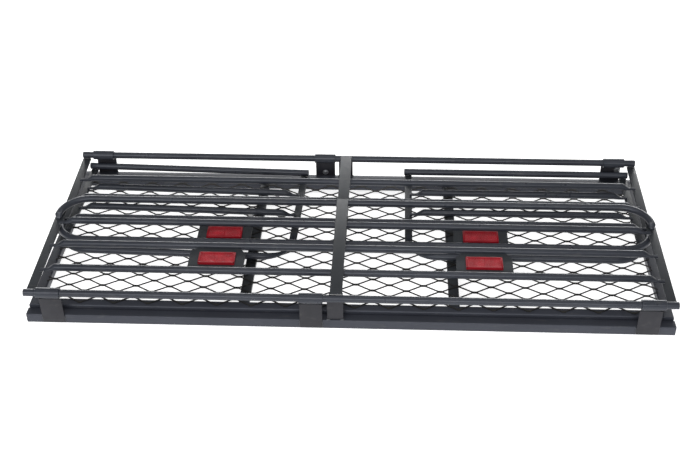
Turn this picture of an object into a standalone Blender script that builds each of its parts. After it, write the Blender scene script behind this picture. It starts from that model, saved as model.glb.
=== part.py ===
"""Folding high-sided hitch cargo carrier, packed flat.

A mesh deck on a welded base carries two long side panels, which turn in sleeves along the front and
rear edges, and two short end panels, which lie loose on the deck beneath them. Metres, +Z up, +X to the
right, the rear (reflector) side towards -Y. The origin is at ground level under the middle of the deck.
"""
import math

import bmesh
import bpy
from mathutils import Matrix, Vector

# ---- driving dimensions (metres) ----
BASE_LENGTH = 1.524            # 60 in over the end members
BASE_DEPTH = 0.610             # 24 in over the ledge tubes
TUBE_SIDE = 0.0254             # 1 in square tube of the ledges and the deck frame's width
FRONT_LEDGE_TOP = 0.0316       # the front ledge stands higher than the rear one
SIDE_SETBACK = 0.002           # side members stop short of the ledge tubes' ends
DECK_TOP = 0.0344              # top face of the deck frame
DECK_MEMBER_HEIGHT = 0.020
CROSS_HEIGHT = 0.0127
CROSS_OFFSET = 0.250           # cross-members either side of the centre
BEAM_BOTTOM = 0.0015
GAP = 0.0003                   # clearance left between touching pieces

MESH_THICKNESS = 0.0027
MESH_LONG_PITCH = 0.1275       # diamond, long way
MESH_SHORT_PITCH = 0.075       # diamond, short way
MESH_COLUMNS = 23              # half diamonds along X
MESH_ROWS = 14                 # half diamonds along Y
MESH_STRAND = 0.0035           # half width of a strand, measured along Y

HINGE_OFFSET = 0.300           # hinge axes at Y = -+ this
HINGE_HEIGHT = 0.0875
ROD_RADIUS = 0.009             # 18 mm tube of the rails
ROD_WALL = 0.0015
HINGE_TUBE_HALF = 0.7576
SLEEVE_RADIUS = 0.0125
SLEEVE_BORE = 0.0097
SLEEVE_LENGTH = 0.056
SLEEVE_END_X = 0.7005
SLEEVE_MIDDLE_X = -0.0866
PLATE_WIDTH = 0.053
PLATE_THICKNESS = 0.003
PLATE_BOTTOM = 0.004
PLATE_TOP = 0.0755
PLATE_INSET = 0.0045           # an end plate's centre lies this much inboard of its sleeve's
LUG_X = -0.030
LUG_WIDTH = 0.038
LUG_THICKNESS = 0.004

PANEL_HEIGHT = 0.366           # from hinge axis to top rail
REAR_RAILS = (0.0915, 0.183, 0.2745)
FRONT_RAILS = (0.107, 0.190, 0.2765)
REAR_SLOPE = math.radians(2.4)
FRONT_SLOPE = math.radians(-2.8)
END_BAR_X = 0.748
END_BAR_WIDTH = 0.022
MIDDLE_BAR_WIDTH = 0.029
MIDDLE_BAR_X = -0.028
BAR_START = 0.003              # a bar begins this far up its panel from the hinge axis
BAR_THICKNESS = 0.004
BAR_FACE = ROD_RADIUS + GAP    # distance of a bar's near face from the rails' centre plane
RAIL_HALF = 0.743              # tip of a long panel's straight rail
PANEL_CORNER = 0.070
PANEL_RETURN = 0.010           # straight run of a top rail after its corner
TAIL_LENGTH = 0.038
TAIL_WIDTH = 0.0045            # half width of a pinched rail end
TAIL_THICKNESS = 0.002         # half thickness of a pinched rail end

REFLECTOR_X = 0.321
REFLECTOR_SIZE = (0.088, 0.040, 0.008)
REAR_REFLECTOR_INSET = 0.0385  # from the rail on the plate's wide side to the reflector's middle
FRONT_REFLECTOR_INSET = 0.030
MOUNT_PLATE_X = 0.322
MOUNT_PLATE_WIDTH = 0.135
MOUNT_PLATE_CLIP = (0.014, 0.020)
MOUNT_PLATE_FACES = (-0.002, 0.001)

END_PANEL_X = 0.4355
LEFT_END_PANEL_Y = 0.284
RIGHT_END_PANEL_Y = 0.288
LEFT_END_PANEL_YAW = math.radians(-1.85)
END_PANEL_Z = 0.0561
END_PANEL_HEIGHT = 0.375
END_PANEL_HALF = 0.3045
END_PANEL_RAILS = (0.099, 0.189)
END_PANEL_SLOPE = math.radians(-0.77)
LEG_X = 0.293                  # a leg's centre from its panel's centre
LEG_WIDTH = 0.019
END_RAIL_HALF = LEG_X - 0.004
END_CORNER = 0.075
END_RETURN = 0.022

ROUND_SIDES = 12
SLEEVE_SIDES = 16
CORNER_STEPS = 6


# ---- scene and materials ----
def clear_scene():
    for item in list(bpy.data.objects):
        bpy.data.objects.remove(item, do_unlink=True)


def make_material(name, color, roughness, metallic):
    material = bpy.data.materials.new(name)
    material.use_nodes = True
    shader = material.node_tree.nodes["Principled BSDF"]
    shader.inputs["Base Color"].default_value = (*color, 1.0)
    shader.inputs["Roughness"].default_value = roughness
    shader.inputs["Metallic"].default_value = metallic
    return material


def make_object(name, mesh_data, material, parent=None, smooth=False):
    mesh = bpy.data.meshes.new(name)
    bmesh.ops.recalc_face_normals(mesh_data, faces=mesh_data.faces)
    mesh_data.to_mesh(mesh)
    mesh_data.free()
    if smooth:
        mesh.shade_smooth()
        mesh.set_sharp_from_angle(angle=math.radians(40))
    own = material.copy()
    own.name = name + "_finish"
    mesh.materials.append(own)
    item = bpy.data.objects.new(name, mesh)
    bpy.context.scene.collection.objects.link(item)
    item.parent = parent
    return item


def make_pivot(name, location, slope, turned=False, yaw=0.0):
    """Empty on a panel's first rail: local Y runs up the panel, local Z out of its outer face."""
    pivot = bpy.data.objects.new(name, None)
    bpy.context.scene.collection.objects.link(pivot)
    pivot.location = location
    pivot.rotation_euler = (slope, 0.0, yaw + (math.pi if turned else 0.0))
    return pivot


# ---- shapes ----
def box(name, low, high, material, parent=None):
    data = bmesh.new()
    size = [b - a for a, b in zip(low, high)]
    middle = [(a + b) / 2 for a, b in zip(low, high)]
    bmesh.ops.create_cube(data, size=1.0, matrix=Matrix.Translation(middle) @ Matrix.Diagonal((*size, 1.0)))
    return make_object(name, data, material, parent)


def ring_points(count, radius, phase=0.5):
    turns = [2 * math.pi * (k + phase) / count for k in range(count)]
    return [(radius * math.cos(a), radius * math.sin(a)) for a in turns]


def open_tube(name, x_low, x_high, outer, inner, sides, material, center=(0.0, 0.0), parent=None):
    """A pipe along X, open at both ends."""
    data = bmesh.new()
    loops = []
    for x, radius in ((x_low, outer), (x_high, outer), (x_high, inner), (x_low, inner)):
        ring = ring_points(sides, radius)
        loops.append([data.verts.new((x, center[0] + y, center[1] + z)) for y, z in ring])
    for first, second in zip(loops, loops[1:] + loops[:1]):
        for k in range(sides):
            after = (k + 1) % sides
            data.faces.new((first[k], first[after], second[after], second[k]))
    return make_object(name, data, material, parent, smooth=True)


def loft_rod(name, stations, material, parent=None):
    """A rod through stations of (centre, direction, half width, half thickness), in the panel's plane."""
    data = bmesh.new()
    up = Vector((0.0, 0.0, 1.0))
    loops = []
    for center, direction, half_width, half_thickness in stations:
        across = up.cross(Vector(direction).normalized())
        loop = []
        for u, v in ring_points(ROUND_SIDES, 1.0):
            point = Vector(center) + across * (u * half_width) + up * (v * half_thickness)
            loop.append(data.verts.new(point))
        loops.append(loop)
    for first, second in zip(loops, loops[1:]):
        for k in range(ROUND_SIDES):
            after = (k + 1) % ROUND_SIDES
            data.faces.new((first[k], first[after], second[after], second[k]))
    data.faces.new(loops[0])
    data.faces.new(list(reversed(loops[-1])))
    return make_object(name, data, material, parent, smooth=True)


def tail_section(amount):
    """Offset, half width and half thickness of a rail end, from round (0) to pinched (1)."""
    eased = amount * amount * (3 - 2 * amount)
    half_thickness = ROD_RADIUS + (TAIL_THICKNESS - ROD_RADIUS) * eased
    half_width = ROD_RADIUS + (TAIL_WIDTH - ROD_RADIUS) * eased
    return half_thickness - ROD_RADIUS, half_width, half_thickness


def straight_rail(name, half, s, material, parent):
    """A straight rail whose pinched ends drop onto the end bars."""
    stations = []
    for side in (-1, 1):
        steps = (1.0, 0.66, 0.33, 0.0) if side < 0 else (0.0, 0.33, 0.66, 1.0)
        for amount in steps:
            drop, half_width, half_thickness = tail_section(amount)
            x = side * (half - TAIL_LENGTH * (1 - amount))
            stations.append(((x, s, drop), (1, 0, 0), half_width, half_thickness))
    return loft_rod(name, stations, material, parent)


def top_rail(name, half, s, corner, run, material, parent, flatten_in_corner):
    """A top rail with a rounded corner and a pinched return at each end, lying over the end bars."""
    quarter = []
    for k in range(CORNER_STEPS + 1):
        angle = 0.5 * math.pi * k / CORNER_STEPS
        amount = min(1.0, k / CORNER_STEPS / 0.7) if flatten_in_corner else 0.0
        x = half - corner + corner * math.sin(angle)
        quarter.append((x, s - corner + corner * math.cos(angle), angle, amount))
    quarter.append((half, s - corner - run / 2, 0.5 * math.pi, 1.0 if flatten_in_corner else 0.6))
    quarter.append((half, s - corner - run, 0.5 * math.pi, 1.0))
    stations = []
    for side in (-1, 1):
        for x, y, angle, amount in (reversed(quarter) if side < 0 else quarter):
            drop, half_width, half_thickness = tail_section(amount)
            direction = (math.cos(angle), -side * math.sin(angle), 0)
            stations.append(((side * x, y, drop), direction, half_width, half_thickness))
    return loft_rod(name, stations, material, parent)


def prism(name, outline, low, high, material, parent=None):
    """An outline in the panel's plane, extruded from low to high along the panel's normal."""
    data = bmesh.new()
    face = data.faces.new([data.verts.new((x, y, low)) for x, y in outline])
    grown = bmesh.ops.extrude_face_region(data, geom=[face])
    moved = [item for item in grown["geom"] if isinstance(item, bmesh.types.BMVert)]
    bmesh.ops.translate(data, verts=moved, vec=(0, 0, high - low))
    return make_object(name, data, material, parent)


# ---- base ----
def build_base(steel):
    half_length = BASE_LENGTH / 2
    outer = BASE_DEPTH / 2
    ledge_inner = outer - TUBE_SIDE
    member_outer = ledge_inner - GAP
    member_inner = member_outer - TUBE_SIDE
    member_low = DECK_TOP - DECK_MEMBER_HEIGHT
    side_outer = half_length - SIDE_SETBACK
    side_inner = side_outer - TUBE_SIDE
    for label, sign, top in (("rear", -1, TUBE_SIDE), ("front", 1, FRONT_LEDGE_TOP)):
        near, far = sorted((sign * ledge_inner, sign * outer))
        box(label + "_ledge_tube", (-half_length, near, 0), (half_length, far, top), steel)
        near, far = sorted((sign * member_inner, sign * member_outer))
        box(label + "_deck_member", (GAP - side_inner, near, member_low),
            (side_inner - GAP, far, DECK_TOP), steel)
    for label, sign in (("left", -1), ("right", 1)):
        low, high = sorted((sign * side_inner, sign * side_outer))
        box(label + "_side_member", (low, -member_outer, member_low), (high, member_outer, DECK_TOP), steel)
        x = sign * CROSS_OFFSET
        reach = member_inner - GAP
        box(label + "_cross_member", (x - TUBE_SIDE / 2, -reach, DECK_TOP - CROSS_HEIGHT),
            (x + TUBE_SIDE / 2, reach, DECK_TOP), steel)
    beam_top = DECK_TOP - CROSS_HEIGHT - GAP
    box("center_beam", (GAP - side_inner, -TUBE_SIDE / 2, BEAM_BOTTOM),
        (side_inner - GAP, TUBE_SIDE / 2, beam_top), steel)


def build_deck_mesh(steel):
    """Flat lattice: a small quad at each crossing and one quad along each strand between crossings."""
    data = bmesh.new()
    step_x = MESH_LONG_PITCH / 2
    step_y = MESH_SHORT_PITCH / 2
    hole_y = step_y - MESH_STRAND
    hole_x = step_x * hole_y / step_y
    corners = {}

    def corner(i, j, side):
        if (i, j, side) not in corners:
            dx, dy = {"E": (hole_x, 0), "W": (-hole_x, 0), "N": (0, hole_y), "S": (0, -hole_y)}[side]
            x = (i - MESH_COLUMNS / 2) * step_x + dx
            y = (j - MESH_ROWS / 2) * step_y + dy
            corners[(i, j, side)] = data.verts.new((x, y, DECK_TOP + GAP))
        return corners[(i, j, side)]

    for i in range(MESH_COLUMNS + 1):
        for j in range(MESH_ROWS + 1):
            if (i + j) % 2:
                continue
            data.faces.new((corner(i + 1, j, "W"), corner(i, j + 1, "S"),
                            corner(i - 1, j, "E"), corner(i, j - 1, "N")))
            if i < MESH_COLUMNS and j < MESH_ROWS:
                data.faces.new((corner(i, j + 1, "S"), corner(i, j + 1, "E"),
                                corner(i + 1, j, "N"), corner(i + 1, j, "W")))
            if i < MESH_COLUMNS and j > 0:
                data.faces.new((corner(i, j - 1, "N"), corner(i, j - 1, "E"),
                                corner(i + 1, j, "S"), corner(i + 1, j, "W")))
    bmesh.ops.recalc_face_normals(data, faces=data.faces)
    grown = bmesh.ops.extrude_face_region(data, geom=list(data.faces))
    moved = [item for item in grown["geom"] if isinstance(item, bmesh.types.BMVert)]
    bmesh.ops.translate(data, verts=moved, vec=(0, 0, MESH_THICKNESS))
    make_object("deck_mesh", data, steel)


def build_hinge_brackets(steel):
    outer = BASE_DEPTH / 2 + GAP
    places = (("left", -SLEEVE_END_X, PLATE_INSET), ("middle", SLEEVE_MIDDLE_X, 0.0),
              ("right", SLEEVE_END_X, -PLATE_INSET))
    for label, sign, ledge_top in (("rear", -1, TUBE_SIDE), ("front", 1, FRONT_LEDGE_TOP)):
        near, far = sorted((sign * outer, sign * (outer + PLATE_THICKNESS)))
        for place, x, shift in places:
            open_tube(f"{label}_{place}_sleeve", x - SLEEVE_LENGTH / 2, x + SLEEVE_LENGTH / 2,
                      SLEEVE_RADIUS, SLEEVE_BORE, SLEEVE_SIDES, steel, (sign * HINGE_OFFSET, HINGE_HEIGHT))
            middle = x + shift
            box(f"{label}_{place}_hinge_plate", (middle - PLATE_WIDTH / 2, near, PLATE_BOTTOM),
                (middle + PLATE_WIDTH / 2, far, PLATE_TOP), steel)
        near = sign * HINGE_OFFSET - LUG_THICKNESS / 2
        far = sign * HINGE_OFFSET + LUG_THICKNESS / 2
        box(label + "_support_lug", (LUG_X - LUG_WIDTH / 2, near, ledge_top + GAP),
            (LUG_X + LUG_WIDTH / 2, far, HINGE_HEIGHT - ROD_RADIUS - GAP), steel)


# ---- long side panels ----
def build_long_panel(label, pivot, rails, facing, steel):
    """Facing is 1 where local X is world X and -1 on a panel turned to face the other way."""
    open_tube(label + "_hinge_tube", -HINGE_TUBE_HALF, HINGE_TUBE_HALF, ROD_RADIUS, ROD_RADIUS - ROD_WALL,
              SLEEVE_SIDES, steel, parent=pivot)
    for number, s in enumerate(rails, 1):
        straight_rail(f"{label}_rail_{number}", RAIL_HALF, s, steel, pivot)
    top_rail(label + "_top_rail", END_BAR_X, PANEL_HEIGHT, PANEL_CORNER, PANEL_RETURN, steel, pivot, False)
    for side, sign in (("left", -1), ("right", 1)):
        x = facing * sign * END_BAR_X
        box(f"{label}_{side}_end_bar", (x - END_BAR_WIDTH / 2, BAR_START, -BAR_FACE - BAR_THICKNESS),
            (x + END_BAR_WIDTH / 2, PANEL_HEIGHT - PANEL_CORNER / 2, -BAR_FACE), steel, pivot)
    x = facing * MIDDLE_BAR_X
    box(label + "_middle_bar", (x - MIDDLE_BAR_WIDTH / 2, BAR_START, BAR_FACE),
        (x + MIDDLE_BAR_WIDTH / 2, PANEL_HEIGHT, BAR_FACE + BAR_THICKNESS), steel, pivot)


def build_reflectors(label, pivot, low_rail, high_rail, wide_high, inset, facing, steel, lens):
    """Two clipped plates between a pair of rails, the wide edge at the lower or the higher rail."""
    width, height, depth = REFLECTOR_SIZE
    clip_x, clip_y = MOUNT_PLATE_CLIP
    half = MOUNT_PLATE_WIDTH / 2
    wide = high_rail - BAR_FACE if wide_high else low_rail + BAR_FACE
    narrow = low_rail + BAR_FACE if wide_high else high_rail - BAR_FACE
    inward = -1 if wide_high else 1
    middle = (high_rail if wide_high else low_rail) + inward * inset
    face = MOUNT_PLATE_FACES[1] + GAP
    for side, sign in (("left", -1), ("right", 1)):
        x = facing * sign * MOUNT_PLATE_X
        outline = [(x - half, wide), (x + half, wide), (x + half, narrow - inward * clip_y),
                   (x + half - clip_x, narrow), (x - half + clip_x, narrow),
                   (x - half, narrow - inward * clip_y)]
        prism(f"{label}_{side}_reflector_plate", outline, *MOUNT_PLATE_FACES, steel, pivot)
        x = facing * sign * REFLECTOR_X
        box(f"{label}_{side}_reflector", (x - width / 2, middle - height / 2, face),
            (x + width / 2, middle + height / 2, face + depth), lens, pivot)


# ---- loose end panels ----
def build_end_panel(label, x, y, yaw, steel):
    pivot = make_pivot(label + "_end_panel_pivot", (x, y, END_PANEL_Z), END_PANEL_SLOPE, True, yaw)
    open_tube(label + "_end_bottom_tube", -END_PANEL_HALF, END_PANEL_HALF, ROD_RADIUS, ROD_RADIUS - ROD_WALL,
              ROUND_SIDES, steel, parent=pivot)
    for number, s in enumerate(END_PANEL_RAILS, 1):
        straight_rail(f"{label}_end_rail_{number}", END_RAIL_HALF, s, steel, pivot)
    top_rail(label + "_end_top_rail", LEG_X, END_PANEL_HEIGHT, END_CORNER, END_RETURN, steel, pivot, True)
    for side, leg_x in (("outer", -LEG_X), ("inner", LEG_X)):
        if label == "left":
            leg_x = -leg_x
        box(f"{label}_end_{side}_leg", (leg_x - LEG_WIDTH / 2, -ROD_RADIUS, -BAR_FACE - BAR_THICKNESS),
            (leg_x + LEG_WIDTH / 2, END_PANEL_HEIGHT - END_CORNER / 2, -BAR_FACE), steel, pivot)


def build():
    clear_scene()
    steel = make_material("powder_coated_steel", (0.058, 0.063, 0.075), 0.42, 0.25)
    lens = make_material("red_reflector_plastic", (0.55, 0.012, 0.018), 0.18, 0.0)
    build_base(steel)
    build_deck_mesh(steel)
    build_hinge_brackets(steel)
    rear = make_pivot("rear_panel_pivot", (0, -HINGE_OFFSET, HINGE_HEIGHT), REAR_SLOPE)
    front = make_pivot("front_panel_pivot", (0, HINGE_OFFSET, HINGE_HEIGHT), FRONT_SLOPE, True)
    build_long_panel("rear", rear, REAR_RAILS, 1, steel)
    build_reflectors("rear", rear, *REAR_RAILS[:2], False, REAR_REFLECTOR_INSET, 1, steel, lens)
    build_long_panel("front", front, FRONT_RAILS, -1, steel)
    build_reflectors("front", front, FRONT_RAILS[2], PANEL_HEIGHT, True, FRONT_REFLECTOR_INSET, -1,
                     steel, lens)
    build_end_panel("left", -END_PANEL_X, LEFT_END_PANEL_Y, LEFT_END_PANEL_YAW, steel)
    build_end_panel("right", END_PANEL_X, RIGHT_END_PANEL_Y, 0.0, steel)


build()
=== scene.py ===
"""Looks of the packed-flat hitch cargo carrier: welded tube, expanded mesh, sleeves, reflectors and finishes.

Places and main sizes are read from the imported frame. The constants below are the fine detail that the
frame doesn't hold, in metres.
"""
import math

import bmesh
import bpy
from mathutils import Matrix, Vector, noise


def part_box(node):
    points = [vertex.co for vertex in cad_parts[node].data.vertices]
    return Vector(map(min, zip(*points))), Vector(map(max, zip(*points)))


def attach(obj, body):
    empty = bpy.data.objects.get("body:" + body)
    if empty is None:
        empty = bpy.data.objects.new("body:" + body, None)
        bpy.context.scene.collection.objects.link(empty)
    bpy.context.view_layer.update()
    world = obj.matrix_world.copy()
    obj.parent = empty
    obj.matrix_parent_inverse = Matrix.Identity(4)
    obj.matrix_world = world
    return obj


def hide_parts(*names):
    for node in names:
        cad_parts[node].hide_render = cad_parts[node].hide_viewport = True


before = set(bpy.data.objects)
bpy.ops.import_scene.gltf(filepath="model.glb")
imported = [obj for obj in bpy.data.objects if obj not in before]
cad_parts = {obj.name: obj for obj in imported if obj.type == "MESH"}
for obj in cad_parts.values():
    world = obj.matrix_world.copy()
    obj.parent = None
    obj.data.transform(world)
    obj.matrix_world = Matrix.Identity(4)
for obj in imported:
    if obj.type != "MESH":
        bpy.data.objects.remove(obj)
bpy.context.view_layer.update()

# ---- sizes of the fine detail ----
TUBE_SIDES = 40
TUBE_WALL = 0.0016
LONG_PANEL_FIT = 1.005           # a tube's radius over half the height of its many-sided CAD tube
END_PANEL_FIT = 1.02
SLEEVE_WALL = 0.0028
SLEEVE_GROWTH = 0.0002
SQUARE_WALL = 0.0018
SQUARE_CORNER = 0.0028
CROSS_WALL = 0.0014
CROSS_CORNER = 0.002
SQUARE_LIP = 0.0004
FLAT_EDGE = 0.0007
TAIL_LENGTH = 0.038
TAIL_HALF_WIDTH = 0.0045
TAIL_HALF_THICKNESS = 0.002
TAIL_STEPS = 10
TAIL_TIP = 0.32                  # share of a tail that is fully pinched
LONG_BEND = (0.070, 0.010)       # radius and straight run of a long panel's top rail
END_BEND = (0.075, 0.022)
CORNER_STEPS = 18
MESH_PITCH = (0.0818, 0.0425)
MESH_PHASE = (0.0138, -0.2685)
MESH_ROWS = 25
MESH_GAUGE = 0.0020
BOND_HALF_LENGTH = 0.0048
BOND_TIP = 1.25
STRAND_HALF = 0.0013
STRAND_TILT = 0.0003
BOLT_RADIUS = 0.0058
BOLT_HEIGHT = 0.0042
WASHER_RADIUS = 1.35 * BOLT_RADIUS
WASHER_HEIGHT = 0.0012
LENS_RIM = 0.0042
LENS_DEPTH = 0.0016
LENS_SPLIT = 0.0008              # half the seam down the middle of a lens
LENS_CELLS = (12, 10)
PRISM_HEIGHT = 0.0009

# ---- weld beads: radius of each kind ----
PLATE_BEAD = 0.0014
SLEEVE_BEAD = 0.0019
LUG_BEAD = 0.0024
MEMBER_BEAD = 0.0018
RAIL_BEAD = 0.0021
TAIL_BEAD = 0.0016
END_BAR_BEAD = 0.0024
BEAD_SIDES = 10
BEAD_STEP = 0.0011
BEAD_SINK = 0.0006               # how far a bead's middle lies under a rail's crest
LUG_CLEARANCE = 0.0075           # the hinge tube's own beads stay this far round it, clear of the lug

# ---- texture scales, in features per metre ----
DRIFT_SCALE = 5.0
SCUFF_SCALE = 30.0
GLOSS_SCALE = 60.0
PEEL_SCALE = 520.0
SPECK_SCALE = 900.0
CLOUD_SCALE = 180.0
LENS_DRIFT_SCALE = 45.0
LENS_GRAIN_SCALE = 700.0

# ---- floor and camera ----
FLOOR_HALF = 14
FLOOR_OFFSET = (0, 6, -0.0004)
FLOOR_GLOW = 0.76
CAMERA_PLACE = (0.0898, -2.2521, 1.7147)
CAMERA_DOWN = 36.351
CAMERA_YAW = -2.459
CAMERA_ROLL = -0.414
CAMERA_LENS = 56.53
CAMERA_SENSOR = 36.0

PANELS = {"rear": "rear_panel", "front": "front_panel"}
END_PANELS = {"left_end": "left_end_panel", "right_end": "right_end_panel"}


# ---- places ----
class Place:
    """Axes of a panel or of the base: x along the carrier, s up the panel from its first tube, n outwards."""

    def __init__(self, origin, along):
        self.s = Vector(along).normalized()
        self.x = Vector((abs(self.s.y), -self.s.x * math.copysign(1.0, self.s.y), 0)).normalized()
        self.n = self.x.cross(self.s)
        if self.n.z < 0:
            self.n = -self.n
        self.origin = Vector(origin)

    def point(self, x, s, n):
        return self.origin + self.x * x + self.s * s + self.n * n

    def span(self, node):
        """Lowest and highest x, s and n of a CAD node."""
        axes = (self.x, self.s, self.n)
        offsets = [v.co - self.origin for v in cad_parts[node].data.vertices]
        rows = [[d.dot(axis) for d in offsets] for axis in axes]
        return Vector([min(row) for row in rows]), Vector([max(row) for row in rows])


def middle(node):
    low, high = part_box(node)
    return (low + high) / 2


def panel_place(first, low_rail, high_rail):
    return Place(middle(first), middle(high_rail) - middle(low_rail))


BASE = Place((0, 0, 0), (0, 1, 0))


# ---- materials ----
def new_material(name):
    material = bpy.data.materials.new(name)
    material.use_nodes = True
    nodes = material.node_tree.nodes
    shader = nodes["Principled BSDF"]
    return material, nodes, material.node_tree.links, shader


def noise_node(nodes, links, scale, detail, coordinates, stretch=(1, 1, 1)):
    mapping = nodes.new("ShaderNodeMapping")
    mapping.inputs["Scale"].default_value = stretch
    links.new(coordinates, mapping.inputs["Vector"])
    texture = nodes.new("ShaderNodeTexNoise")
    texture.inputs["Scale"].default_value = scale
    texture.inputs["Detail"].default_value = detail
    links.new(mapping.outputs["Vector"], texture.inputs["Vector"])
    return texture.outputs["Fac"]


def ramp_node(nodes, links, source, stops):
    ramp = nodes.new("ShaderNodeValToRGB")
    elements = ramp.color_ramp.elements
    while len(elements) < len(stops):
        elements.new(0.5)
    for element, (position, color) in zip(elements, stops):
        element.position = position
        element.color = (*color, 1.0)
    links.new(source, ramp.inputs["Fac"])
    return ramp.outputs["Color"]


def range_node(nodes, links, source, low, high):
    spread = nodes.new("ShaderNodeMapRange")
    spread.inputs["From Min"].default_value = 0.3
    spread.inputs["From Max"].default_value = 0.7
    spread.inputs["To Min"].default_value = low
    spread.inputs["To Max"].default_value = high
    links.new(source, spread.inputs["Value"])
    return spread.outputs["Result"]


def bump_node(nodes, links, height, strength, distance, below=None):
    bump = nodes.new("ShaderNodeBump")
    bump.inputs["Strength"].default_value = strength
    bump.inputs["Distance"].default_value = distance
    links.new(height, bump.inputs["Height"])
    if below is not None:
        links.new(below, bump.inputs["Normal"])
    return bump.outputs["Normal"]


def object_coordinates(nodes):
    return nodes.new("ShaderNodeTexCoord").outputs["Object"]


def coated_steel(name, dark, light, rough, metallic, orange_peel=0.12, dust=(0.11, 0.105, 0.10)):
    """Powder-coated steel: slow tone drift, orange peel, fine specks, dust and slightly varied gloss."""
    material, nodes, links, shader = new_material(name)
    where = object_coordinates(nodes)
    drift = noise_node(nodes, links, DRIFT_SCALE, 5.0, where)
    color = ramp_node(nodes, links, drift, ((0.32, dark), (0.68, light)))
    specks = noise_node(nodes, links, SPECK_SCALE, 2.0, where)
    speck_mask = ramp_node(nodes, links, specks, ((0.66, (0, 0, 0)), (0.76, (1, 1, 1))))
    scuffs = noise_node(nodes, links, SCUFF_SCALE, 8.0, where, (1.0, 3.0, 3.0))
    scuff_mask = ramp_node(nodes, links, scuffs, ((0.60, (0, 0, 0)), (0.82, (0.35, 0.35, 0.35))))
    dusted = nodes.new("ShaderNodeMix")
    dusted.data_type = "RGBA"
    dusted.inputs["B"].default_value = (*dust, 1.0)
    links.new(scuff_mask, dusted.inputs["Factor"])
    links.new(color, dusted.inputs["A"])
    speckled = nodes.new("ShaderNodeMix")
    speckled.data_type = "RGBA"
    speckled.inputs["B"].default_value = (*[0.6 * c for c in dark], 1.0)
    links.new(speck_mask, speckled.inputs["Factor"])
    links.new(dusted.outputs["Result"], speckled.inputs["A"])
    links.new(speckled.outputs["Result"], shader.inputs["Base Color"])
    gloss = noise_node(nodes, links, GLOSS_SCALE, 4.0, where)
    links.new(range_node(nodes, links, gloss, rough - 0.05, rough + 0.07), shader.inputs["Roughness"])
    peel = noise_node(nodes, links, PEEL_SCALE, 3.0, where)
    grit = bump_node(nodes, links, specks, 0.05, 0.0003)
    links.new(bump_node(nodes, links, peel, orange_peel, 0.0004, grit), shader.inputs["Normal"])
    shader.inputs["Metallic"].default_value = metallic
    shader.inputs["Specular IOR Level"].default_value = 0.38
    return material


def zinc_steel(name):
    """Plated fastener steel, a little cloudy."""
    material, nodes, links, shader = new_material(name)
    where = object_coordinates(nodes)
    clouds = noise_node(nodes, links, CLOUD_SCALE, 5.0, where)
    color = ramp_node(nodes, links, clouds, ((0.3, (0.30, 0.31, 0.33)), (0.7, (0.48, 0.49, 0.50))))
    links.new(color, shader.inputs["Base Color"])
    links.new(range_node(nodes, links, clouds, 0.28, 0.42), shader.inputs["Roughness"])
    links.new(bump_node(nodes, links, clouds, 0.1, 0.0002), shader.inputs["Normal"])
    shader.inputs["Metallic"].default_value = 0.9
    return material


def red_plastic(name, dark, light, rough):
    """Clear-faced red reflector plastic with a fine moulded grain and a faint painted glow of its lighter
    red.
    """
    material, nodes, links, shader = new_material(name)
    where = object_coordinates(nodes)
    drift = noise_node(nodes, links, LENS_DRIFT_SCALE, 3.0, where)
    links.new(ramp_node(nodes, links, drift, ((0.35, dark), (0.65, light))), shader.inputs["Base Color"])
    grain = noise_node(nodes, links, LENS_GRAIN_SCALE, 2.0, where)
    links.new(range_node(nodes, links, grain, rough, rough + 0.06), shader.inputs["Roughness"])
    links.new(bump_node(nodes, links, grain, 0.06, 0.0002), shader.inputs["Normal"])
    shader.inputs["Coat Weight"].default_value = 0.15
    shader.inputs["Coat Roughness"].default_value = 0.15
    shader.inputs["Specular IOR Level"].default_value = 0.3
    # Painted glow: the plastic emits a faint light of its lighter red, though it is no lamp.
    shader.inputs["Emission Color"].default_value = (*light, 1.0)
    shader.inputs["Emission Strength"].default_value = 0.04
    return material


RAIL_STEEL = coated_steel("rail_coating", (0.021, 0.024, 0.033), (0.032, 0.036, 0.047), 0.32, 0.25)
FRAME_STEEL = coated_steel("frame_coating", (0.030, 0.033, 0.044), (0.042, 0.046, 0.060), 0.42, 0.3)
BAR_STEEL = coated_steel("bar_coating", (0.022, 0.025, 0.029), (0.033, 0.037, 0.043), 0.46, 0.2)
PLATE_STEEL = coated_steel("plate_coating", (0.013, 0.013, 0.017), (0.021, 0.021, 0.027), 0.50, 0.15)
MESH_STEEL = coated_steel("mesh_coating", (0.012, 0.012, 0.012), (0.024, 0.022, 0.021), 0.5, 0.2, 0.2)
# Painted highlight: weld beads get a coating two to three times lighter than the rails and frame they join,
# standing in for the glints on the welds.
WELD_STEEL_WITH_PAINTED_GLINT = coated_steel("weld_coating_painted_glint", (0.060, 0.063, 0.070), (0.090, 0.094, 0.104), 0.3, 0.45, 0.3)
ZINC = zinc_steel("plated_fastener")
LENS = red_plastic("reflector_lens", (0.24, 0.005, 0.012), (0.36, 0.008, 0.018), 0.30)
RIM = red_plastic("reflector_rim", (0.22, 0.005, 0.011), (0.29, 0.007, 0.015), 0.32)


# ---- mesh building ----
def finish_piece(name, data, material, body, nodes=(), angle=35):
    """Turns a bmesh into a piece that rides on a body and stands for its CAD nodes."""
    bmesh.ops.remove_doubles(data, verts=data.verts, dist=1e-6)
    bmesh.ops.recalc_face_normals(data, faces=data.faces)
    mesh = bpy.data.meshes.new(name)
    data.to_mesh(mesh)
    data.free()
    mesh.shade_smooth()
    mesh.set_sharp_from_angle(angle=math.radians(angle))
    mesh.materials.append(material)
    piece = bpy.data.objects.new(name, mesh)
    bpy.context.scene.collection.objects.link(piece)
    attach(piece, body)
    if nodes:
        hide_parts(*nodes)
    return piece


def bridge(data, first, second):
    count = len(first)
    for k in range(count):
        after = (k + 1) % count
        data.faces.new((first[k], first[after], second[after], second[k]))


def ring(data, points):
    return [data.verts.new(p) for p in points]


def circle(count):
    return [(math.cos(2 * math.pi * k / count), math.sin(2 * math.pi * k / count)) for k in range(count)]


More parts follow.
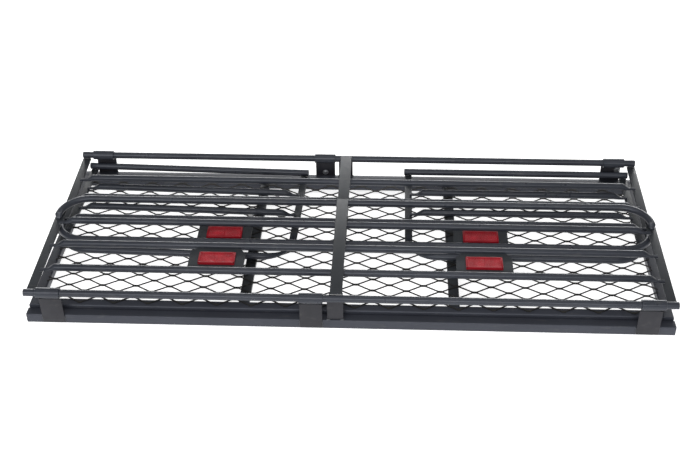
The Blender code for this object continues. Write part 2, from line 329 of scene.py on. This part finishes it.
def add_block(data, place, low, high, edge=FLAT_EDGE):
    """A block with softly rounded edges, given by its corners in a place's axes."""
    own = bmesh.new()
    size = Vector(high) - Vector(low)
    center = (Vector(high) + Vector(low)) / 2
    bmesh.ops.create_cube(own, size=1.0)
    for v in own.verts:
        v.co = Vector(c * d for c, d in zip(v.co, size)) + center
    if edge:
        bmesh.ops.bevel(own, geom=own.edges[:], offset=edge, segments=3, profile=0.5, affect="EDGES")
    for v in own.verts:
        v.co = place.point(*v.co)
    merge(data, own)


def merge(data, own):
    """Moves everything in own into data."""
    copies = {v: data.verts.new(v.co) for v in own.verts}
    for face in own.faces:
        data.faces.new([copies[v] for v in face.verts])
    own.free()


def rounded_square(width, height, corner, steps=5):
    """Outline of a tube's section, anticlockwise, centred on 0."""
    points = []
    for k, (u, v) in enumerate(((1, 1), (-1, 1), (-1, -1), (1, -1))):
        for step in range(steps + 1):
            angle = 0.5 * math.pi * (k + step / steps)
            points.append((u * (width / 2 - corner) + corner * math.cos(angle),
                           v * (height / 2 - corner) + corner * math.sin(angle)))
    return points


def add_square_tube(data, low, high, along, wall=SQUARE_WALL, corner=SQUARE_CORNER, capped=False):
    """A rectangular tube along X (0) or Y (1), hollow with open ends, or capped where it is welded."""
    low, high = Vector(low), Vector(high)
    other = 1 - along
    width, height = high[other] - low[other], high.z - low.z
    center = (low + high) / 2
    outer = rounded_square(width, height, corner)
    inner = rounded_square(width - 2 * wall, height - 2 * wall, max(corner - wall, 0.0005))
    lip = SQUARE_LIP
    stations = ((low[along], outer, lip), (low[along] + lip, outer, 0), (high[along] - lip, outer, 0),
                (high[along], outer, lip), (high[along], inner, 0), (low[along], inner, 0))
    loops = []
    for t, outline, shrink in stations:
        points = []
        for u, v in outline:
            p = Vector((0, 0, center.z + v * (1 - 2 * shrink / height)))
            p[along] = t
            p[other] = center[other] + u * (1 - 2 * shrink / width)
            points.append(p)
        loops.append(ring(data, points))
    if capped:
        for first, second in zip(loops[:3], loops[1:4]):
            bridge(data, first, second)
        data.faces.new(loops[0])
        data.faces.new(loops[3])
        bmesh.ops.delete(data, geom=loops[4] + loops[5], context="VERTS")
        return
    for first, second in zip(loops, loops[1:] + loops[:1]):
        bridge(data, first, second)


def add_round_tube(data, place, x_low, x_high, outer, inner, s=0.0, n=0.0, lip=0.0005):
    """A pipe along x with softened ends, its centre line at s and n."""
    stations = ((x_low, outer - lip), (x_low + lip, outer), (x_high - lip, outer), (x_high, outer - lip),
                (x_high, inner), (x_low, inner))
    loops = []
    for x, radius in stations:
        points = [place.point(x, s + radius * u, n + radius * v) for u, v in circle(TUBE_SIDES)]
        loops.append(ring(data, points))
    for first, second in zip(loops, loops[1:] + loops[:1]):
        bridge(data, first, second)


def pinched_section(radius, amount):
    """Points of a tube's section pinched by amount, from 0, round, to 1, and its drop."""
    eased = amount * amount * (3 - 2 * amount)
    half_width = radius + (TAIL_HALF_WIDTH - radius) * eased
    half_thickness = radius + (TAIL_HALF_THICKNESS - radius) * eased
    power = 1.0 - 0.62 * eased
    points = []
    for u, v in circle(TUBE_SIDES):
        pinched_u = math.copysign(abs(u) ** power, u)
        pinched_v = math.copysign(abs(v) ** power, v)
        points.append((half_width * pinched_u, half_thickness * pinched_v))
    return points, half_thickness - radius


def add_pinched_rod(data, place, stations, radius):
    """A tube through stations of x, s, heading (x, s) and pinched amount, closed at its ends."""
    loops = []
    for x, s, heading, amount in stations:
        outline, drop = pinched_section(radius, amount)
        length = math.hypot(*heading)
        across = (-heading[1] / length, heading[0] / length)
        points = [place.point(x + across[0] * u, s + across[1] * u, drop + v) for u, v in outline]
        loops.append(ring(data, points))
    for first, second in zip(loops, loops[1:]):
        bridge(data, first, second)
    for loop in (loops[0], loops[-1]):
        data.faces.new(loop)


def even_steps(count):
    return [k / count for k in range(count + 1)]


def straight_stations(x_low, x_high, s):
    """Stations of a rail from one pinched end to the other."""
    stations = []
    for share in even_steps(TAIL_STEPS):
        amount = min(1.0, (1 - share) / (1 - TAIL_TIP))
        stations.append((x_low + TAIL_LENGTH * share, s, (1, 0), amount))
    for share in even_steps(TAIL_STEPS):
        amount = min(1.0, share / (1 - TAIL_TIP))
        stations.append((x_high - TAIL_LENGTH * (1 - share), s, (1, 0), amount))
    return stations


def bent_stations(x_low, x_high, s, corner, run, early):
    """Stations of a top rail with an in-plane bend and a pinched return at both ends.

    An early rail is already pinched along its bend, others only along their return.
    """
    def quarter(x_end, side):
        found = []
        for k in range(CORNER_STEPS + 1):
            share = k / CORNER_STEPS
            angle = 0.5 * math.pi * share
            x = x_end - side * (corner - corner * math.sin(angle))
            amount = min(1.0, share / 0.7) if early else 0.0
            found.append((x, s - corner + corner * math.cos(angle),
                          (math.cos(angle), -side * math.sin(angle)), amount))
        for share in (0.25, 0.5, 0.75, 1.0):
            amount = 1.0 if early else min(1.0, share / 0.75)
            found.append((x_end, s - corner - run * share, (0.0, -side), amount))
        return found
    return quarter(x_low, -1)[::-1] + quarter(x_high, 1)


def add_bead(data, points, radius, seed):
    """A weld bead: a lumpy half-buried tube through points, with ripples along it."""
    spots = [Vector(p) for p in points]
    length = sum((b - a).length for a, b in zip(spots, spots[1:]))
    count = max(6, int(length / BEAD_STEP))
    rows = []
    for k in range(count + 1):
        share = k / count * (len(spots) - 1)
        index = min(int(share), len(spots) - 2)
        at = spots[index].lerp(spots[index + 1], share - index)
        direction = (spots[index + 1] - spots[index]).normalized()
        side = direction.orthogonal().normalized()
        top = direction.cross(side)
        end = math.sin(math.pi * min(1.0, 0.12 + 0.88 * min(k, count - k) / max(1, 0.18 * count)) / 2)
        swell = 0.86 + 0.14 * math.cos(k * 2.4) + 0.16 * noise.noise(at * 400 + Vector((seed, 0, 0)))
        size = radius * swell * max(0.25, end)
        rows.append(ring(data, [at + side * (size * u) + top * (size * v) for u, v in circle(BEAD_SIDES)]))
    for first, second in zip(rows, rows[1:]):
        bridge(data, first, second)
    data.faces.new(rows[0])
    data.faces.new(rows[-1])


# ---- base ----
def build_base():
    for label in ("rear", "front"):
        for kind in ("ledge_tube", "deck_member"):
            node = f"{label}_{kind}"
            data = bmesh.new()
            add_square_tube(data, *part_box(node), 0, capped=kind == "deck_member")
            finish_piece(node + "_steel", data, FRAME_STEEL, "base", [node])
    for node, along in (("left_side_member", 1), ("right_side_member", 1), ("center_beam", 0)):
        data = bmesh.new()
        add_square_tube(data, *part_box(node), along, capped=True)
        finish_piece(node + "_steel", data, FRAME_STEEL, "base", [node])
    for node in ("left_cross_member", "right_cross_member"):
        data = bmesh.new()
        add_square_tube(data, *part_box(node), 1, CROSS_WALL, CROSS_CORNER, capped=True)
        finish_piece(node + "_steel", data, BAR_STEEL, "base", [node])


def build_mesh():
    """Expanded metal: a bond where two strands meet, and a tilted strand between neighbouring bonds."""
    low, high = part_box("deck_mesh")
    half_x, half_y = MESH_PITCH[0] / 2, MESH_PITCH[1] / 2
    first_column = math.floor((low.x - MESH_PHASE[0]) / half_x) - 1
    last_column = math.ceil((high.x - MESH_PHASE[0]) / half_x) + 1
    data = bmesh.new()
    corners = {}

    def corner(i, j, which):
        if (i, j, which) not in corners:
            dx, dy = {"TL": (-1, 1), "TR": (1, 1), "E": (BOND_TIP, 0), "BR": (1, -1), "BL": (-1, -1),
                      "W": (-BOND_TIP, 0)}[which]
            x = MESH_PHASE[0] + i * half_x + dx * BOND_HALF_LENGTH
            y = MESH_PHASE[1] + j * half_y + dy * 2 * STRAND_HALF
            corners[(i, j, which)] = data.verts.new((x, y, low.z + dy * STRAND_TILT + STRAND_TILT))
        return corners[(i, j, which)]

    for i in range(first_column, last_column + 1):
        for j in range(MESH_ROWS + 1):
            if (i + j) % 2:
                continue
            data.faces.new([corner(i, j, w) for w in ("TL", "TR", "E", "BR", "BL", "W")])
            if j < MESH_ROWS:
                data.faces.new((corner(i, j, "TR"), corner(i, j, "E"),
                                corner(i + 1, j + 1, "BL"), corner(i + 1, j + 1, "W")))
                data.faces.new((corner(i, j, "TL"), corner(i, j, "W"),
                                corner(i - 1, j + 1, "BR"), corner(i - 1, j + 1, "E")))
    for x, outward in ((low.x, -1), (high.x, 1)):
        bmesh.ops.bisect_plane(data, geom=data.verts[:] + data.edges[:] + data.faces[:],
                               plane_co=(x, 0, 0), plane_no=(outward, 0, 0), clear_outer=True)
    bmesh.ops.recalc_face_normals(data, faces=data.faces)
    grown = bmesh.ops.extrude_face_region(data, geom=data.faces[:])
    moved = [item for item in grown["geom"] if isinstance(item, bmesh.types.BMVert)]
    bmesh.ops.translate(data, verts=moved, vec=(0, 0, MESH_GAUGE))
    finish_piece("expanded_metal_deck", data, MESH_STEEL, "base", ["deck_mesh"], 50)


def build_hinge_brackets():
    for label in PANELS:
        hinge = middle(f"{label}_hinge_tube")
        for place_name in ("left", "middle", "right"):
            sleeve = f"{label}_{place_name}_sleeve"
            plate = f"{label}_{place_name}_hinge_plate"
            low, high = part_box(sleeve)
            outer = (high.z - low.z) / 2
            data = bmesh.new()
            place = Place((0, hinge.y, hinge.z), (0, 1, 0))
            add_round_tube(data, place, low.x, high.x, outer + SLEEVE_GROWTH, outer - SLEEVE_WALL,
                           lip=FLAT_EDGE)
            finish_piece(sleeve + "_pipe", data, RAIL_STEEL, "base", [sleeve])
            low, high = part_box(plate)
            data = bmesh.new()
            add_block(data, BASE, low, high)
            finish_piece(plate + "_steel", data, PLATE_STEEL, "base", [plate])
        lug = f"{label}_support_lug"
        data = bmesh.new()
        add_block(data, BASE, *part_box(lug))
        finish_piece(lug + "_steel", data, PLATE_STEEL, "base", [lug])


def add_bolt(data, x, y, z, facing):
    """A hexagonal head on a washer, standing out of a plate's face along Y."""
    washer = (WASHER_RADIUS, 0.0, WASHER_HEIGHT, 28)
    head = (BOLT_RADIUS, WASHER_HEIGHT, BOLT_HEIGHT, 6)
    for radius, start, end, sides in (washer, head):
        loops = []
        for grown, share in ((1.0, 0.0), (1.0, 0.75), (0.86, 1.0)):
            depth = start + (end - start) * share
            points = [(x + radius * grown * u, y + facing * depth, z + radius * grown * v)
                      for u, v in circle(sides)]
            loops.append(ring(data, points))
        for first, second in zip(loops, loops[1:]):
            bridge(data, first, second)
        data.faces.new(loops[0])
        data.faces.new(loops[-1])


def build_bolts():
    """Bolt heads on the inner faces of two of the front hinge plates."""
    data = bmesh.new()
    low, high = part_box("front_middle_hinge_plate")
    _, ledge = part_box("front_ledge_tube")
    add_bolt(data, (low.x + high.x) / 2, low.y, ledge.z + 1.4 * BOLT_RADIUS, -1)
    low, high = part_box("front_right_hinge_plate")
    add_bolt(data, high.x - 1.6 * BOLT_RADIUS, low.y, high.z - 2.3 * BOLT_RADIUS, -1)
    finish_piece("hinge_plate_bolts", data, ZINC, "base", angle=25)


def build_base_welds():
    """Beads where the plates meet the ledge tubes and sleeves, and where the members meet."""
    data = bmesh.new()
    seed = 0
    for label, sign in (("rear", -1), ("front", 1)):
        _, tube_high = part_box(f"{label}_ledge_tube")
        for place_name in ("left", "middle", "right"):
            low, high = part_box(f"{label}_{place_name}_hinge_plate")
            face = high.y if sign < 0 else low.y
            for x in (low.x, high.x):
                seed += 1
                add_bead(data, [(x, face, 0.006), (x, face, tube_high.z - 0.002)], PLATE_BEAD, seed)
            seed += 1
            y = middle(f"{label}_{place_name}_hinge_plate").y - sign * 0.0015
            add_bead(data, [(low.x + 0.003, y, high.z), (high.x - 0.003, y, high.z)], SLEEVE_BEAD, seed)
        low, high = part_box(f"{label}_support_lug")
        for x, reach in ((low.x, 0.007), (high.x, -0.007)):
            for y in (low.y, high.y):
                seed += 1
                ends = [(x - reach * 0.3, y, tube_high.z), (x + reach, y, tube_high.z)]
                add_bead(data, ends, LUG_BEAD, seed)
    for node in ("left_cross_member", "right_cross_member", "left_side_member", "right_side_member"):
        low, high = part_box(node)
        for y in (low.y, high.y):
            seed += 1
            add_bead(data, [(low.x + 0.004, y, low.z), (high.x - 0.004, y, low.z)], MEMBER_BEAD, seed)
    finish_piece("base_weld_beads", data, WELD_STEEL_WITH_PAINTED_GLINT, "base", angle=60)


# ---- panels ----
def bar_center(place, node):
    """The x of a straight bar's centre line; a bar leans with its panel, so x is the same all along it."""
    low, high = place.span(node)
    return (low.x + high.x) / 2


def build_tubes_and_bars(label, body, first, rail_count, bars, bend, early, fit):
    """A panel's tubes and bars, the first two bars under the top rail's ends. Gives its place and radius."""
    place = panel_place(f"{label}_{first}_tube", f"{label}_rail_1", f"{label}_rail_{rail_count}")
    low, high = place.span(f"{label}_{first}_tube")
    radius = (high.z - low.z) / 2 * fit
    data = bmesh.new()
    add_round_tube(data, place, low.x, high.x, radius, radius - TUBE_WALL)
    finish_piece(f"{label}_{first}_pipe", data, RAIL_STEEL, body, [f"{label}_{first}_tube"])
    for number in range(1, rail_count + 1):
        node = f"{label}_rail_{number}"
        low, high = place.span(node)
        data = bmesh.new()
        add_pinched_rod(data, place, straight_stations(low.x, high.x, (low.y + high.y) / 2), radius)
        finish_piece(node + "_tube", data, RAIL_STEEL, body, [node])
    node = f"{label}_top_rail"
    top = place.span(node)[1].y - radius
    ends = sorted(bar_center(place, f"{label}_{bar}") for bar in bars[:2])
    data = bmesh.new()
    add_pinched_rod(data, place, bent_stations(*ends, top, *bend, early), radius)
    finish_piece(node + "_tube", data, RAIL_STEEL, body, [node])
    for bar in bars:
        node = f"{label}_{bar}"
        data = bmesh.new()
        add_block(data, place, *place.span(node))
        finish_piece(node + "_flat", data, BAR_STEEL, body, [node])
    return place, radius


def build_panel_welds(label, body, place, radius):
    """Beads where each rail meets the middle bar and the end bars."""
    data = bmesh.new()
    seed = 50 if label == "rear" else 90
    bar_low, bar_high = place.span(f"{label}_middle_bar")
    rails = [(a.y + b.y) / 2 for a, b in (place.span(f"{label}_rail_{k}") for k in (1, 2, 3))]
    top = place.span(f"{label}_top_rail")[1].y - radius
    for s in [LUG_CLEARANCE] + rails + [top]:
        for x in (bar_low.x, bar_high.x):
            seed += 1
            ends = [place.point(x, s + step, radius - BEAD_SINK) for step in (-0.004, 0.004)]
            add_bead(data, ends, RAIL_BEAD, seed)
    for side in ("left", "right"):
        low, high = place.span(f"{label}_{side}_end_bar")
        inner = low.x if side == "right" else high.x
        rail_low, rail_high = place.span(f"{label}_rail_1")
        tip = rail_high.x if side == "right" else rail_low.x
        for s in rails:
            for edge in (-TAIL_HALF_WIDTH, TAIL_HALF_WIDTH):
                seed += 1
                ends = [place.point(inner, s + edge, high.z), place.point(tip, s + edge, high.z)]
                add_bead(data, ends, TAIL_BEAD, seed)
        seed += 1
        ends = [place.point(low.x + 0.002, radius * 0.45, high.z + 0.0012),
                place.point(high.x - 0.002, radius * 0.45, high.z + 0.0012)]
        add_bead(data, ends, END_BAR_BEAD, seed)
    finish_piece(f"{label}_panel_weld_beads", data, WELD_STEEL_WITH_PAINTED_GLINT, body, angle=60)


def add_prism(data, place, outline, low, high, edge):
    own = bmesh.new()
    face = own.faces.new([own.verts.new((x, s, low)) for x, s in outline])
    grown = bmesh.ops.extrude_face_region(own, geom=[face])
    moved = [item for item in grown["geom"] if isinstance(item, bmesh.types.BMVert)]
    bmesh.ops.translate(own, verts=moved, vec=(0, 0, high - low))
    bmesh.ops.bevel(own, geom=own.edges[:], offset=edge, segments=3, profile=0.5, affect="EDGES")
    for v in own.verts:
        v.co = place.point(*v.co)
    merge(data, own)


def plate_outline(place, node):
    """Corners of a CAD plate's outline in the panel's axes, in order round its middle."""
    flat = {(round(d.dot(place.x), 5), round(d.dot(place.s), 5))
            for d in (v.co - place.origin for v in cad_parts[node].data.vertices)}
    center_x = sum(p[0] for p in flat) / len(flat)
    center_s = sum(p[1] for p in flat) / len(flat)
    return sorted(flat, key=lambda p: math.atan2(p[1] - center_s, p[0] - center_x))


def add_prisms_face(data, place, low, high, base_n, height, cells):
    """A lens face of small pyramids, cells across and up."""
    wide, tall = cells
    step_x = (high[0] - low[0]) / wide
    step_s = (high[1] - low[1]) / tall
    grid = {}
    for i in range(wide + 1):
        for j in range(tall + 1):
            grid[i, j] = data.verts.new(place.point(low[0] + i * step_x, low[1] + j * step_s, base_n))
    for i in range(wide):
        for j in range(tall):
            x, s = low[0] + (i + 0.5) * step_x, low[1] + (j + 0.5) * step_s
            tip = data.verts.new(place.point(x, s, base_n + height))
            round_cell = (grid[i, j], grid[i + 1, j], grid[i + 1, j + 1], grid[i, j + 1])
            for k in range(4):
                data.faces.new((round_cell[k], round_cell[(k + 1) % 4], tip))


def build_reflectors(label, body, place):
    for side in ("left", "right"):
        node = f"{label}_{side}_reflector_plate"
        low, high = place.span(node)
        data = bmesh.new()
        add_prism(data, place, plate_outline(place, node), low.z, high.z, 0.0005)
        finish_piece(node + "_steel", data, BAR_STEEL, body, [node])
        node = f"{label}_{side}_reflector"
        low, high = place.span(node)
        rim = LENS_RIM
        data = bmesh.new()
        add_block(data, place, low, (high.x, high.y, high.z - LENS_DEPTH), 0.0012)
        for x_low, x_high, s_low, s_high in (
                (low.x, high.x, low.y, low.y + rim), (low.x, high.x, high.y - rim, high.y),
                (low.x, low.x + rim, low.y, high.y), (high.x - rim, high.x, low.y, high.y)):
            add_block(data, place, (x_low, s_low, high.z - 2.5 * LENS_DEPTH), (x_high, s_high, high.z),
                      FLAT_EDGE)
        finish_piece(node + "_housing", data, RIM, body, [node])
        data = bmesh.new()
        x_middle = (low.x + high.x) / 2
        base_n = high.z - LENS_DEPTH - 0.0001
        for x_low, x_high in ((low.x + rim, x_middle - LENS_SPLIT), (x_middle + LENS_SPLIT, high.x - rim)):
            add_prisms_face(data, place, (x_low, low.y + rim), (x_high, high.y - rim), base_n,
                            PRISM_HEIGHT, LENS_CELLS)
        finish_piece(node + "_lens", data, LENS, body, angle=5)


def build_long_panel(label, body):
    bars = ("left_end_bar", "right_end_bar", "middle_bar")
    place, radius = build_tubes_and_bars(label, body, "hinge", 3, bars, LONG_BEND, False, LONG_PANEL_FIT)
    build_panel_welds(label, body, place, radius)
    build_reflectors(label, body, place)


def build_end_panel(label, body):
    build_tubes_and_bars(label, body, "bottom", 2, ("outer_leg", "inner_leg"), END_BEND, True, END_PANEL_FIT)


# ---- floor, light and camera ----
def build_stage():
    data = bmesh.new()
    bmesh.ops.create_grid(data, x_segments=1, y_segments=1, size=FLOOR_HALF)
    bmesh.ops.translate(data, verts=data.verts[:], vec=FLOOR_OFFSET)
    mesh = bpy.data.meshes.new("floor")
    data.to_mesh(mesh)
    data.free()
    floor = bpy.data.objects.new("floor", mesh)
    bpy.context.scene.collection.objects.link(floor)
    material, nodes, links, shader = new_material("pale_floor")
    tone = noise_node(nodes, links, 1.5, 2.0, object_coordinates(nodes))
    links.new(ramp_node(nodes, links, tone, ((0.3, (0.93, 0.93, 0.93)), (0.7, (0.95, 0.95, 0.95)))),
              shader.inputs["Base Color"])
    shader.inputs["Roughness"].default_value = 0.9
    shader.inputs["Emission Color"].default_value = (1.0, 1.0, 1.0, 1.0)
    shader.inputs["Emission Strength"].default_value = FLOOR_GLOW
    floor.data.materials.append(material)


def add_area(name, place, target, size, power):
    light = bpy.data.lights.new(name, "AREA")
    light.shape = "RECTANGLE"
    light.size, light.size_y = size
    light.energy = power
    lamp = bpy.data.objects.new(name, light)
    lamp.location = place
    lamp.rotation_mode = "QUATERNION"
    lamp.rotation_quaternion = (Vector(target) - Vector(place)).to_track_quat("-Z", "Y")
    bpy.context.scene.collection.objects.link(lamp)


def build_light():
    world = bpy.data.worlds.new("studio")
    world.use_nodes = True
    background = world.node_tree.nodes["Background"]
    background.inputs["Color"].default_value = (1.0, 1.0, 1.0, 1.0)
    background.inputs["Strength"].default_value = 0.4
    bpy.context.scene.world = world
    add_area("key_light", (-0.5, -3.0, 1.9), (0, 0, 0), (4.0, 1.5), 85)
    add_area("top_light", (0.0, -0.3, 3.2), (0, 0, 0), (3.0, 1.6), 22)
    add_area("back_light", (0.3, 5.5, 1.1), (0, -0.1, 0.05), (7.0, 1.0), 270)


def build_camera():
    down, yaw, roll = (math.radians(a) for a in (CAMERA_DOWN, CAMERA_YAW, CAMERA_ROLL))
    forward = Vector((math.sin(yaw) * math.cos(down), math.cos(yaw) * math.cos(down), -math.sin(down)))
    level = Vector((math.cos(yaw), -math.sin(yaw), 0))
    above = level.cross(forward)
    right = math.cos(roll) * level + math.sin(roll) * above
    up = -math.sin(roll) * level + math.cos(roll) * above
    lens = bpy.data.cameras.new("camera")
    lens.lens = CAMERA_LENS
    lens.sensor_width = CAMERA_SENSOR
    camera = bpy.data.objects.new("camera", lens)
    turn = Matrix((right, up, -forward)).transposed().to_4x4()
    camera.matrix_world = Matrix.Translation(CAMERA_PLACE) @ turn
    bpy.context.scene.collection.objects.link(camera)
    bpy.context.scene.camera = camera


bpy.context.scene.view_settings.view_transform = "Standard"
build_camera()
build_stage()
build_light()
build_base()
build_mesh()
build_hinge_brackets()
build_bolts()
build_base_welds()
for panel_label, panel_body in PANELS.items():
    build_long_panel(panel_label, panel_body)
for panel_label, panel_body in END_PANELS.items():
    build_end_panel(panel_label, panel_body)
